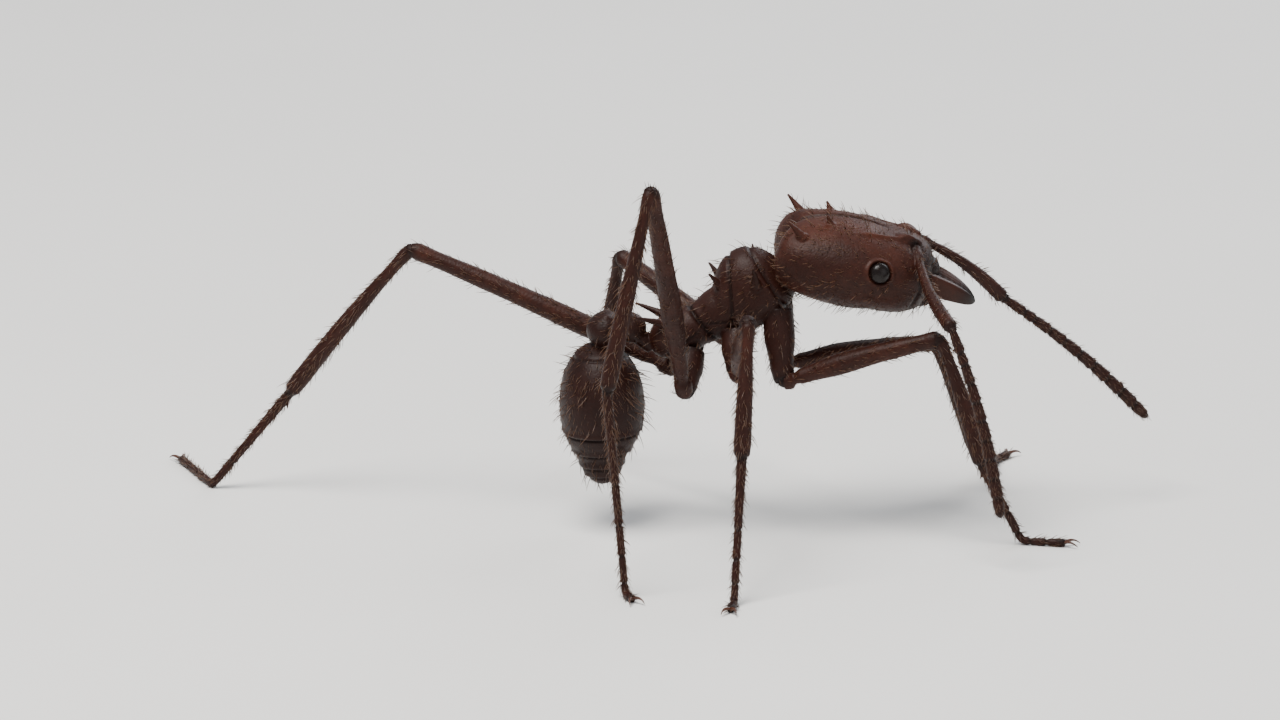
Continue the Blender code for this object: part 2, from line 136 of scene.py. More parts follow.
# Lengths of coxa, femur, tibia and tarsus.
LEG_LENGTHS = {
    "front": (1.25, 2.83, 2.3, 2.2),
    "middle": (0.8, 2.95, 2.3, 2.8),
    "hind": (0.8, 5.02, 3.5, 3.72),
}
# Azimuth and elevation of coxa, femur and tibia, azimuths of tarsus and toe, and the toe's length.
LEG_POSES = {
    "front_right": ((-78, -70), (-7.5, 18), (-11, -71.6), 5, -10, 0.75),
    "front_left": ((76, -78), (21, 2.2), (38.7, -66), 78, 60, 0.45),
    "middle_right": ((-88, -50), (-86, 34), (-100, -74), -98, -98, 0.45),
    "middle_left": ((88, -50), (138, 23.3), (110, -72), 100, 96, 0.9),
    "hind_right": ((-100, -50), (-103.2, 59.3), (-140, -74), -53, -70, 0.35),
    "hind_left": ((115, -50), (169.5, 22.5), (164, -51.6), 176, 110, 1.67),
}
SOLID_TOE_HEIGHT = 0.177
TOE_HEIGHT = 0.068
SOCKET = (0.88, 0.38, 0.54)
# Elbow and tip of each feeler.
ANTENNA_POSES = {"right": ((5.07, -2.45, 4.21), (5.91, -2.76, 0.95)),
                 "left": ((6.0, 1.07, 3.75), (8.48, 1.6, 1.47))}
EYE_PLACE = (0.32, 1.07, 0.18)
EYE_NORMAL = (0.28, 1.0, 0.22)
EYE_RADIUS = 0.17
EYE_HEIGHT = 0.11
EYE_FACETS = 420
JAW_ROOT = 1.06
MANDIBLE_LENGTH = 1.02
MANDIBLE_WIDTH = 0.48
MANDIBLE_THICKNESS = 0.6
MANDIBLE_DROOP = 0.22

# Radius along each kind of limb, at shares of its length; the waist's only sets its share of the map.
RADII = {
    "coxa": ((0.0, 0.26), (0.35, 0.265), (0.8, 0.2), (0.94, 0.165), (1.0, 0.125)),
    "femur": ((0.0, 0.11), (0.018, 0.152), (0.05, 0.156), (0.078, 0.098), (0.13, 0.135), (0.38, 0.187),
              (0.7, 0.16), (0.9, 0.14), (0.97, 0.152), (1.0, 0.118)),
    "tibia": ((0.0, 0.1), (0.04, 0.118), (0.12, 0.1), (0.6, 0.14), (0.9, 0.15), (0.97, 0.138),
              (1.0, 0.085)),
    "tarsus": ((0.0, 0.07), (0.03, 0.085), (0.4, 0.07), (0.85, 0.062), (0.97, 0.072), (1.0, 0.06)),
    "spur": ((0.0, 0.036), (0.6, 0.027), (1.0, 0.012)),
    "scape": ((0.0, 0.08), (0.1, 0.095), (0.16, 0.07), (0.3, 0.082), (0.85, 0.118), (0.97, 0.122),
              (1.0, 0.085)),
    "funiculus": ((0.0, 0.062), (0.08, 0.08), (0.8, 0.102), (0.93, 0.098), (0.975, 0.08), (1.0, 0.034)),
    "petiole": ((0.0, 0.3), (1.0, 0.3)),
    "postpetiole": ((0.0, 0.3), (1.0, 0.3)),
}
NECK_RADII = ((0.0, 0.22), (0.45, 0.17), (0.6, 0.15), (1.0, 0.25))
SPUR_LENGTH = 0.34

# Grooves between the segments of feet and feelers: shares of the length, depth and width.
SEGMENTS = {
    "tarsus": ((0.42, 0.6, 0.74, 0.86), 0.26, 0.026),
    "funiculus": ((0.135, 0.2, 0.3, 0.4, 0.5, 0.6, 0.7, 0.8, 0.9), 0.2, 0.028),
}

# Gap between the parts of the map, and room in radians for the faces that cross a seam.
MARGIN = 0.006
SEAM = 0.35

# Places between which the skin of a limb leaves the trunk's and takes its own radius.
ROOT_FADES = {"coxa": (0.62, 0.85), "femur": (0.62, 0.85), "scape": (0.55, 0.75)}

TRUNK = ("head", "mesosoma", "petiole", "postpetiole", "gaster")
LEG_PIECES = ("coxa", "femur", "tibia", "tarsus")
LIMBS = (*LEG_PIECES, "scape", "funiculus")

# Darkness of each kind of part, from 0 to 1.
TONES = {
    "head": 0.3, "mesosoma": 0.36, "petiole": 0.46, "postpetiole": 0.5, "gaster": 0.56, "coxa": 0.42,
    "femur": 0.26, "tibia": 0.3, "tarsus": 0.34, "scape": 0.28, "funiculus": 0.36, "spur": 0.2,
}

# For each kind of part: bristles per square millimetre, length, lift off the skin in degrees.
BRISTLES = {
    "head": ((26, 0.17, 62), (60, 0.07, 20)),
    "mesosoma": ((22, 0.19, 66), (60, 0.07, 22)),
    "petiole": ((24, 0.17, 66), (50, 0.07, 25)),
    "postpetiole": ((24, 0.17, 60), (50, 0.07, 25)),
    "gaster": ((22, 0.2, 58), (90, 0.08, 18)),
    "coxa": ((40, 0.13, 50), (40, 0.07, 25)),
    "femur": ((44, 0.13, 40), (60, 0.08, 22)),
    "tibia": ((90, 0.14, 38), (80, 0.08, 25)),
    "tarsus": ((260, 0.11, 36), (120, 0.07, 25)),
    "scape": ((110, 0.12, 42), (60, 0.07, 25)),
    "funiculus": ((160, 0.08, 48), (360, 0.05, 25)),
}
# Rings of a bristle: place along it and share of its thickness.
BRISTLE_RINGS = ((-0.1, 1.0), (0.3, 0.9), (0.68, 0.62))
BRISTLE_THICKNESS = 0.0052

# Stage, in metres and degrees.
CAMERA_AIM = (-0.000234, 0.000286, 0.0029)
CAMERA_DISTANCE = 0.413
CAMERA_ELEVATION = 16.0
CAMERA_LENS = 680.0
LIGHT_AIM = (0.0, 0.0, 0.003)


def pitched(centre, degrees):
    """Matrix of a block in the shifted frame."""
    turn = Matrix.Rotation(-math.radians(degrees), 4, "Y")
    return np.array(Matrix.Translation(Vector(centre) + Vector(SHIFT)) @ turn)


FRAMES = {kind: pitched(*place) for kind, place in BLOCK_PLACES.items()}


def placed(frame, points):
    """Points of a block's own frame, in the ant's frame."""
    return np.asarray(points, float) @ frame[:3, :3].T + frame[:3, 3]


def mirrored(values, side):
    """A point or direction of the left side, or its mirror image on the right."""
    return np.array(values) * (1, side, 1)


def heading(azimuth, elevation):
    """Unit vector from an azimuth and an elevation in degrees."""
    turn, lift = math.radians(azimuth), math.radians(elevation)
    return np.array((math.cos(lift) * math.cos(turn), math.cos(lift) * math.sin(turn), math.sin(lift)))


def circle(count):
    """Angles evenly round a full turn."""
    return 2 * np.pi * np.arange(count) / count


def unit(vectors):
    """Vectors scaled to length 1."""
    vectors = np.asarray(vectors, float)
    return vectors / np.maximum(np.linalg.norm(vectors, axis=-1, keepdims=True), 1e-12)


def smoothstep(low, high, values):
    """0 below low, 1 above high, and smooth between them."""
    share = np.clip((values - low) / (high - low), 0.0, 1.0)
    return share * share * (3.0 - 2.0 * share)


def eased(values, knots):
    """Smooth interpolation through knots of place and value."""
    places, sizes = (np.array(column) for column in zip(*knots))
    index = np.clip(np.searchsorted(places, values) - 1, 0, len(places) - 2)
    share = smoothstep(places[index], places[index + 1], values)
    return sizes[index] * (1.0 - share) + sizes[index + 1] * share


# ---- rings and paths


def capped(rings):
    """Vertices and faces of rings, closed at both ends."""
    rows, columns = rings.shape[:2]
    verts = np.concatenate((rings.reshape(-1, 3), rings[:1].mean(1), rings[-1:].mean(1)))
    row, column = np.meshgrid(np.arange(rows - 1) * columns, np.arange(columns), indexing="ij")
    after = (column + 1) % columns
    quads = np.stack((row + column, row + after, row + columns + after, row + columns + column), -1)
    faces = quads.reshape(-1, 4).tolist()
    last = (rows - 1) * columns
    for index in range(columns):
        after = (index + 1) % columns
        faces += [[after, index, rows * columns], [last + index, last + after, rows * columns + 1]]
    return verts, faces


def egg_rings(centres, across, rise, sizes, sides=96):
    """Rings from half widths, heights and depths, or from radii that are all three."""
    turns = circle(sides)
    half_width, up, down = np.broadcast_to(sizes, (3, len(centres)))[..., None]
    height = np.cos(turns) * np.where(np.cos(turns) > 0, up, down)
    spread = np.sin(turns) * half_width
    return centres[:, None] + spread[..., None] * across[:, None] + height[..., None] * rise[:, None]


def lobed_sizes(x, lobes):
    """Half width, rise and drop at x of lobes blended into one outline."""
    totals = np.zeros((3, len(x)))
    for centre, half_length, *sizes in lobes:
        reach = np.sqrt(np.clip(1.0 - ((x - centre) / half_length) ** 2, 0.0, None))
        totals += (np.array(sizes)[:, None] * reach) ** 4
    return totals ** 0.25


def block_rings(lobes, start, end, count=90):
    """Rings of a block along its own x axis."""
    x = (start + end) / 2 - (end - start) / 2 * np.cos(np.pi * (np.arange(count) + 0.5) / count)
    return egg_rings(np.outer(x, (1.0, 0.0, 0.0)), SIDEWAYS, UPWARDS, lobed_sizes(x, lobes))


class Path:
    """Smooth curve through the joints of a limb; places along it are in millimetres."""

    STEP = 0.02

    def __init__(self, joints, side, rounding=0.07, bows=()):
        corners = np.array(joints, float)
        self.joints = np.concatenate(([0.0], np.cumsum(np.linalg.norm(np.diff(corners, axis=0), axis=1))))
        self.total = self.joints[-1]
        count = int(self.total / self.STEP)
        self.places = np.linspace(0.0, self.total, count + 1)
        step = self.total / count
        points = np.stack([np.interp(self.places, self.joints, corners[:, k]) for k in range(3)], 1)
        side = unit(side)
        for index, bow in enumerate(bows):
            share = (self.places - self.joints[index]) / (self.joints[index + 1] - self.joints[index])
            arch = np.sin(np.pi * np.clip(share, 0.0, 1.0))
            points += np.outer(arch * bow, unit(np.cross(corners[index + 1] - corners[index], side)))
        reach = int(3 * rounding / step)
        kernel = np.exp(-0.5 * (np.arange(-reach, reach + 1) * step / rounding) ** 2)
        kernel /= kernel.sum()
        before = points[0] + np.outer(np.arange(-reach, 0), points[1] - points[0])
        after = points[-1] + np.outer(np.arange(1, reach + 1), points[-1] - points[-2])
        padded = np.concatenate((before, points, after))
        self.points = np.stack([np.convolve(padded[:, k], kernel, "valid") for k in range(3)], 1)
        self.along = unit(np.gradient(self.points, axis=0))
        self.across = unit(side - self.along * (self.along @ side)[:, None])
        self.rise = np.cross(self.along, self.across)

    def index(self, places):
        """Index of the path's point at each place."""
        return np.clip(np.round(places / self.places[1]).astype(int), 0, len(self.places) - 1)

    def rings(self, places, sizes, sides=24):
        """Rings round the path at some places."""
        index = self.index(places)
        return egg_rings(self.points[index], self.across[index], self.rise[index], sizes, sides)

    def measure(self, points):
        """Each point's place along the path, turn round it, foot on it and offset from it."""
        chunks = np.array_split(points, max(1, len(points) // 4000))
        index = np.concatenate([np.argmin((self.points ** 2).sum(1) - 2 * chunk @ self.points.T, axis=1)
                                for chunk in chunks])
        along, across, rise = self.along[index], self.across[index], self.rise[index]
        ahead = ((points - self.points[index]) * along).sum(1)
        foot = self.points[index] + along * ahead[:, None]
        outward = points - foot
        turn = np.arctan2((outward * across).sum(1), (outward * rise).sum(1))
        return self.places[index] + ahead, turn, foot, outward


# ---- parts of the skin


class Block:
    """A trunk part measured along its own x axis: rings, pairs of spines and more surfaces."""

    def __init__(self, kind, rings, spines=(), others=()):
        self.name = self.kind = kind
        self.frame = FRAMES[kind]
        self.start, end, self.girth = BLOCK_BANDS[kind]
        self.length = end - self.start
        grown = [spine_surface(self.frame, rings, spine, side) for spine in spines for side in (1, -1)]
        self.surfaces = [capped(placed(self.frame, rings)), *grown, *others]

    def own(self, points):
        """Points in the block's own frame."""
        return (points - self.frame[:3, 3]) @ self.frame[:3, :3]

    def measure(self, points):
        """Place along the block and turn round it."""
        own = self.own(points)
        return own[:, 0] - self.start, np.arctan2(own[:, 1], own[:, 2])

    def lie(self, points):
        """Direction that bristles lean towards: the rear, or the tip of the gaster."""
        sign = 1.0 if self.kind == "gaster" else -1.0
        return np.tile(self.frame[:3, 0] * sign, (len(points), 1))


class Limb:
    """A part measured along a path, with its radius at shares of its length."""

    def __init__(self, name, path, start, end):
        self.name, self.kind = name, name.split("_")[0]
        self.path, self.start, self.length = path, start, end - start
        self.joints, self.notch, self.width = SEGMENTS.get(self.kind, ((), 0.0, 1.0))
        self.girth = 2 * np.pi * max(radius for _, radius in RADII[self.kind])
        self.surfaces = [self.surface()]

    def radius(self, place):
        """Radius at places along the part, with a groove at each small joint."""
        radius = eased(place / self.length, RADII[self.kind])
        for joint in self.joints:
            gap = (place - joint * self.length) / self.width
            swell = 0.1 * np.exp(-(gap + 2.2) ** 2 / 2.0)
            radius = radius * (1.0 - self.notch * np.exp(-gap ** 2) + swell)
        return radius

    def measure(self, points):
        """Place along the part and turn round it."""
        place, turn, _, _ = self.path.measure(points)
        return place - self.start, turn

    def lie(self, points):
        """Direction that bristles lean towards: the tip of the limb."""
        return self.path.along[self.path.index(self.path.measure(points)[0])]

    def surface(self):
        """Closed tube that reaches a little into its neighbours."""
        places = np.arange(-0.06, self.length + 0.06, 0.035)
        radii = self.radius(np.clip(places, 0.0, self.length))
        return capped(self.path.rings(places + self.start, radii))


class WaistPart(Limb):
    """Petiole or postpetiole."""

    def own(self, points):
        """Points before the shift."""
        return points - SHIFT

    def surface(self):
        """Closed surface of egg-shaped rings."""
        places = np.arange(self.start - 0.16, self.start + self.length + 0.16, 0.02)
        sizes = np.maximum(lobed_sizes(places, WAIST_LOBES[self.kind]), 0.11)
        return capped(self.path.rings(places, sizes, 64))


def leg_joints(leg):
    """Hip, trochanter, knee, ankle, ball of the foot and toe; the foot lies lower than the solid's."""
    kind, side_name = leg.split("_")
    coxa, femur, tibia, tarsus = LEG_LENGTHS[kind]
    coxa_pose, femur_pose, tibia_pose, tarsus_azimuth, toe_azimuth, toe_length = LEG_POSES[leg]
    hip = placed(FRAMES["mesosoma"], mirrored(HIPS[kind], SIDES[side_name]))
    trochanter = hip + heading(*coxa_pose) * coxa
    knee = trochanter + heading(*femur_pose) * femur
    ankle = knee + heading(*tibia_pose) * tibia
    run = math.sqrt((tarsus - toe_length) ** 2 - (ankle[2] - SOLID_TOE_HEIGHT) ** 2)
    foot = ankle + heading(tarsus_azimuth, 0) * run
    foot[2] = TOE_HEIGHT
    return [hip, trochanter, knee, ankle, foot, foot + heading(toe_azimuth, 0) * toe_length]


def round_head(points):
    """Round the two ends of the head off, where its ellipsoids are cut."""
    behind = np.clip((points[..., 0] - OCCIPUT) / OCCIPUT_ROUNDING, 0.0, 1.0)
    ahead = np.clip((CLYPEUS - points[..., 0]) / CLYPEUS_ROUNDING, 0.0, 1.0)
    for share in (behind, ahead):
        points[..., 1:] *= ((1.0 - (1.0 - share) ** ROUNDING_POWER) ** (1.0 / ROUNDING_POWER))[..., None]
    return points


def cleave_occiput(points):
    """Draw the back of the head out at each side, which leaves the cleft of a heart."""
    depth = np.clip((0.3 - points[..., 0]) / 1.1, 0.0, 1.0)
    spread = np.minimum(1.0, np.abs(points[..., 1]) / 0.75)
    points[..., 0] -= OCCIPITAL_LOBE * depth ** 2 * spread * (1.6 - 0.6 * spread)
    return points


def spine_surface(frame, rings, spine, side):
    """Tapered, slightly hooked spine on the point of a block nearest to its place."""
    place, direction, length, root_radius = spine
    skin = rings.reshape(-1, 3)
    root = skin[np.argmin(np.linalg.norm(skin - mirrored(place, side), axis=1))]
    aim = unit(mirrored(direction, side))
    share = np.linspace(-0.35, 1.0, 26)
    out = np.clip(share, 0, 1)
    centres = root + np.outer(share * length, aim) + np.outer(out ** 2 * 0.1 * length, (-1.0, 0.0, 0.0))
    taper = SPINE_TIP_RADIUS + (root_radius - SPINE_TIP_RADIUS) * (1 - out) ** 1.15
    radii = np.where(share < 0, root_radius * 1.25, taper)
    across = unit(np.cross(aim, (1.0, 0.0, 0.2)))[None]
    return capped(placed(frame, egg_rings(centres, across, np.cross(aim, across), radii, 20)))


def ball(centre, axes, side=1):
    """Closed ellipsoid in the head's frame."""
    turns = np.linspace(0.02, np.pi - 0.02, 30)
    length, width, height = axes
    centres = mirrored(centre, side) + np.outer(-np.cos(turns) * length, (1.0, 0.0, 0.0))
    sizes = np.outer((width, height, height), np.sin(turns))
    return capped(placed(FRAMES["head"], egg_rings(centres, SIDEWAYS, UPWARDS, sizes, 40)))


def mouth_surfaces():
    """Mouthparts, clypeus, and the lobes and jaw sockets of both sides."""
    pairs = [ball(*lobe, side) for side in (1, -1) for lobe in (FRONTAL_LOBE, JAW_SOCKET)]
    return [ball(*MOUTHPARTS), ball(*CLYPEUS_LOBE), *pairs]


def neck_surface():
    """Neck between the pronotum and the back of the head."""
    start = placed(FRAMES["mesosoma"], (2.2, 0.0, 0.05))
    end = placed(FRAMES["head"], (-0.55, 0.0, -0.22))
    path = Path([start, end], (0, -1, 0))
    share = np.linspace(0.0, 1.0, 40)
    return capped(path.rings(share * path.total, eased(share, NECK_RADII), 40))


def spur_path(path, ankle):
    """Path of the spur at the end of a tibia, on the side that faces the body."""
    index = int(ankle / path.places[1])
    root = path.points[index] - path.along[index] * 0.05
    aim = unit(path.along[index + 8] - path.rise[index] * 0.5)
    return Path([root, root + aim * SPUR_LENGTH], path.across[index], 0.03, (0.03,))


def make_parts():
    """The parts of the skin."""
    head = cleave_occiput(round_head(block_rings(HEAD_LOBES, OCCIPUT, CLYPEUS)))
    mesosoma = block_rings(MESOSOMA_LOBES, -0.02, MESOSOMA_END + 0.2)
    waist = Path([np.array(point) + SHIFT for point in (WAIST, *WAIST_ARCH, GASTER_TOP)], (0, -1, 0))
    parts = [Block("head", head, HEAD_SPINES, mouth_surfaces()),
             Block("mesosoma", mesosoma, MESOSOMA_SPINES, [neck_surface()]),
             WaistPart("petiole", waist, 0.0, PETIOLE_END),
             WaistPart("postpetiole", waist, PETIOLE_END, waist.total),
             Block("gaster", block_rings(GASTER_LOBES, 0.0, GASTER_LENGTH))]
    for side_name, side in SIDES.items():
        elbow, tip = (np.array(point) + SHIFT for point in ANTENNA_POSES[side_name])
        socket = placed(FRAMES["head"], mirrored(SOCKET, side))
        path = Path([socket, elbow, tip], (0, 1, 0), bows=(0.1 * side, 0.1))
        bend = path.joints[1]
        parts += [Limb(f"scape_{side_name}", path, 0.0, bend),
                  Limb(f"funiculus_{side_name}", path, bend, path.total)]
    for leg in LEG_POSES:
        joints = leg_joints(leg)
        run = joints[-1] - joints[0]
        path = Path(joints, (-run[1], run[0], 0), 0.075, (0.0, 0.05, 0.04, 0.0, 0.0))
        ends = (*path.joints[:4], path.total)
        parts += [Limb(f"{kind}_{leg}", path, start, end)
                  for kind, start, end in zip(LEG_PIECES, ends, ends[1:])]
        parts.append(Limb(f"spur_{leg}", spur_path(path, ends[3]), 0.0, SPUR_LENGTH))
    return parts


# ---- meshes


def link(name, data, **settings):
    """New object of a mesh, a light or a camera with its settings, in the scene."""
    for setting, value in settings.items():
        setattr(data, setting, value)
    made = bpy.data.objects.new(name, data)
    bpy.context.scene.collection.objects.link(made)
    return made


def link_mesh(name, verts, faces):
    """New object from points in metres."""
    mesh = bpy.data.meshes.new(name)
    mesh.from_pydata(np.asarray(verts).tolist(), [], faces)
    mesh.update()
    return link(name, mesh)


def smooth_piece(name, verts, faces):
    """New smooth object from points in millimetres."""
    piece = link_mesh(name, verts * MM, faces)
    piece.data.shade_smooth()
    return piece


def read(items, attribute, width, kind=float):
    """Values of a mesh's vertices, edges or corners, with a row for each."""
    values = np.zeros(len(items) * width, kind)
    items.foreach_get(attribute, values)
    return values.reshape(-1, width)


def write_points(mesh, points):
    """Set the vertex positions."""
    mesh.vertices.foreach_set("co", points.ravel())
    mesh.update()


def write_attribute(mesh, name, values):
    """One number for each vertex."""
    layer = mesh.attributes.new(name, "FLOAT", "POINT")
    layer.data.foreach_set("value", np.asarray(values, np.float32))


def write_map(mesh, coordinates):
    """The unwrap of a mesh, from a pair of numbers for each corner."""
    layer = mesh.uv_layers.new(name="OFBake")
    layer.uv.foreach_set("vector", coordinates.astype(np.float32).ravel())


def joined(surfaces):
    """Vertices and faces of several surfaces as one."""
    verts, faces, count = [], [], 0
    for points, polygons in surfaces:
        verts.append(points)
        faces.extend([[index + count for index in face] for face in polygons])
        count += len(points)
    return np.concatenate(verts), faces


def union(surfaces):
    """Mesh of quads round the union of closed surfaces, still in millimetres."""
    source = link_mesh("source", *joined(surfaces))
    remesh = source.modifiers.new("union", "REMESH")
    remesh.mode = "VOXEL"
    remesh.voxel_size = VOXEL
    graph = bpy.context.evaluated_depsgraph_get()
    mesh = bpy.data.meshes.new_from_object(source.evaluated_get(graph))
    bpy.data.batch_remove((source, source.data))
    drop_specks(mesh)
    return mesh


def drop_specks(mesh):
    """Remove the specks that the voxels leave beside the one large surface."""
    ends = read(mesh.edges, "vertices", 2, np.int32).T
    root = np.arange(len(mesh.vertices))
    near, far = root[ends]
    while np.any(near != far):
        np.minimum.at(root, near, far)
        np.minimum.at(root, far, near)
        while np.any(root != root[root]):
            root = root[root]
        near, far = root[ends]
    shape = bmesh.new()
    shape.from_mesh(mesh)
    shape.verts.ensure_lookup_table()
    specks = [shape.verts[index] for index in np.flatnonzero(root != np.bincount(root).argmax())]
    bmesh.ops.delete(shape, geom=specks, context="VERTS")
    shape.to_mesh(mesh)
    shape.free()


def averaged(values, edges, degree):
    """Mean of the neighbours' values."""
    near, far = edges.T
    total = [np.bincount(near, column[far], len(degree)) + np.bincount(far, column[near], len(degree))
             for column in values.reshape(len(degree), -1).T]
    return (np.stack(total, 1) / degree[:, None]).reshape(values.shape)


def relaxed(points, edges, degree, rounds):
    """Smooth the steps of the voxels without shrinking the shape."""
    for _ in range(rounds):
        points = points + 0.5 * (averaged(points, edges, degree) - points)
        points = points - 0.52 * (averaged(points, edges, degree) - points)
    return points


def nearest(known, asked):
    """Index of the known point nearest to each point asked for."""
    tree = kdtree.KDTree(len(known))
    for index, point in enumerate(known.tolist()):
        tree.insert(point, index)
    tree.balance()
    return [tree.find(point)[1] for point in asked.tolist()]


# ---- relief and tones of the skin


def groove(distance, width):
    """Profile of a furrow: 1 in its middle."""
    return np.exp(-(distance / width) ** 2)


def folded(own):
    """Coordinates of points, with both sides brought to the left one."""
    return own[:, 0], np.abs(own[:, 1]), own[:, 2]


def head_relief(own):
    """Rise of the head: furrows, frontal ridges, sockets and eye rims."""
    x, y, z = folded(own)
    top = smoothstep(-0.05, 0.25, z)
    rise = -0.055 * groove(y, 0.055) * smoothstep(0.5, 0.05, x) * smoothstep(-0.35, 0.0, z)
    ridge = y - (0.36 + 0.3 * np.clip(0.7 - x, 0.0, 1.0))
    rise += 0.035 * groove(ridge, 0.045) * top * smoothstep(-0.35, 0.1, x) * smoothstep(1.05, 0.8, x)
    socket = np.sqrt((x - 0.9) ** 2 + (y - 0.44) ** 2)
    rise -= 0.075 * groove(socket, 0.13) * top
    suture = x - (0.76 + 0.5 * y ** 2)
    rise -= 0.022 * groove(suture, 0.025) * top * smoothstep(0.24, 0.16, y)
    eye = np.linalg.norm(np.stack((x, y, z), 1) - EYE_PLACE, axis=1)
    rise += 0.03 * groove(eye - 0.225, 0.035) - 0.035 * groove(eye - 0.172, 0.022)
    rise -= 0.03 * groove(y, 0.035) * smoothstep(-0.25, -0.45, z) * smoothstep(0.75, 0.5, x)
    cheek = x - (1.08 - 0.25 * np.abs(z + 0.05))
    return rise - 0.03 * groove(cheek, 0.03) * smoothstep(0.3, 0.42, y)


def mesosoma_relief(own):
    """Rise of the mesosoma: the sutures between its plates, and the spiracles."""
    x, y, z = folded(own)
    flank = y > 0.2
    front = x - (1.56 + 0.42 * (z - 0.1) - 0.3 * np.clip(-z, 0, 1))
    rise = -0.04 * groove(front, 0.032)
    middle = x - (0.98 - 0.22 * z)
    rise -= 0.05 * groove(middle, 0.04)
    slant = (z + 0.06) + 0.35 * (x - 1.3)
    rise -= 0.026 * groove(slant, 0.028) * smoothstep(1.0, 1.08, x) * smoothstep(1.62, 1.52, x) * flank
    lower = (z + 0.1) - 0.18 * (x - 0.5)
    rise -= 0.024 * groove(lower, 0.026) * smoothstep(0.12, 0.22, x) * smoothstep(0.95, 0.85, x) * flank
    collar = x - (2.36 - 0.1 * z)
    rise -= 0.03 * groove(collar, 0.03)
    spiracle = np.sqrt((x - 0.5) ** 2 + (z - 0.1) ** 2)
    return rise + (0.03 * groove(spiracle - 0.055, 0.02) - 0.05 * groove(spiracle, 0.028)) * flank


def gaster_relief(own):
    """Rise of the gaster: each plate overlaps the next with a slightly wavy edge."""
    rise = np.zeros(len(own))
    for edge, depth in GASTER_PLATES:
        ahead = own[:, 0] - edge - 0.015 * np.cos(2 * np.arctan2(own[:, 1], own[:, 2]))
        rise += 0.55 * depth * groove(ahead + 0.045, 0.05) - depth * groove(ahead - 0.012, 0.022)
    return rise


def waist_relief(own):
    """Rise of the waist: low tubercles on top of the two nodes."""
    rise = np.zeros(len(own))
    for tubercle in WAIST_TUBERCLES:
        rise += 0.06 * groove(np.linalg.norm(np.stack(folded(own), 1) - tubercle, axis=1), 0.07)
    return rise


RELIEFS = {"head": head_relief, "mesosoma": mesosoma_relief, "gaster": gaster_relief,
           "petiole": waist_relief, "postpetiole": waist_relief}


def part_tones(part, points):
    """Darkness of one part: its ends, its joints and the front of the head are darker; the top of the
    head and its occipital lobes are lighter, a painted highlight.
    """
    place, _ = part.measure(points)
    tone = np.full(len(place), TONES[part.kind])
    if part.kind in LIMBS:
        tone += 0.45 * groove(part.length - place, 0.1) + 0.3 * groove(place, 0.07)
    for joint in getattr(part, "joints", ()):
        tone += 0.35 * groove(place - joint * part.length, 0.04)
    if part.kind == "head":
        x, y, z = folded(part.own(points))
        # The front of the head is darker; its top is lighter, a painted highlight.
        tone += 0.4 * smoothstep(0.88, 1.22, x) - 0.1 * smoothstep(0.2, 0.7, z)
        # Painted highlight: the occipital lobes at the back of the head are lighter.
        tone -= 0.14 * groove(y - 0.62, 0.35) * smoothstep(0.2, -0.6, x)
    return tone


# ---- the one skin


class Atlas:
    """A rectangle of the map for each part: turn round the part across it, place along it up it."""

    def __init__(self, parts):
        self.parts = parts
        scale = 1.0
        while not self.pack(scale):
            scale *= 0.985

    def pack(self, scale):
        """Rows of rectangles, tallest first; False if they don't fit."""
        self.rects = {}
        x, y, row = MARGIN, MARGIN, 0.0
        for part in sorted(self.parts, key=lambda part: -part.length):
            width, height = part.girth * scale, part.length * scale
            if x + width + MARGIN > 1.0:
                x, y, row = MARGIN, y + row + MARGIN, 0.0
            self.rects[part.name] = (x, y, width, height)
            x += width + MARGIN
            row = max(row, height)
        return y + row + MARGIN <= 1.0

    def place(self, part, along, turn):
        """Map coordinates of places along a part and turns from -pi, to a little over pi."""
        x, y, width, height = self.rects[part.name]
        share = np.clip(along / part.length, 0.0, 1.0)
        around = np.clip((turn + np.pi) / (2 * np.pi + SEAM), 0.0, 1.0)
        return np.stack((x + width * around, y + height * share), 1)

    def unwrap(self, mesh, quads, points, owner):
        """Write the map onto a mesh of quads."""
        face_owner = owner[quads[:, 0]]
        coordinates = np.zeros((*quads.shape, 2))
        for index, part in enumerate(self.parts):
            chosen = np.flatnonzero(face_owner == index)
            used, inverse = np.unique(quads[chosen], return_inverse=True)
            inverse = inverse.reshape(-1, 4)
            along, turn = part.measure(points[used])
            turn = turn[inverse]
            crossing = turn.max(1) - turn.min(1) > np.pi
            turn = np.where(crossing[:, None] & (turn < 0), turn + 2 * np.pi, turn)
            flat = self.place(part, along[inverse].ravel(), turn.ravel())
            coordinates[chosen] = flat.reshape(*turn.shape, 2)
        write_map(mesh, coordinates)


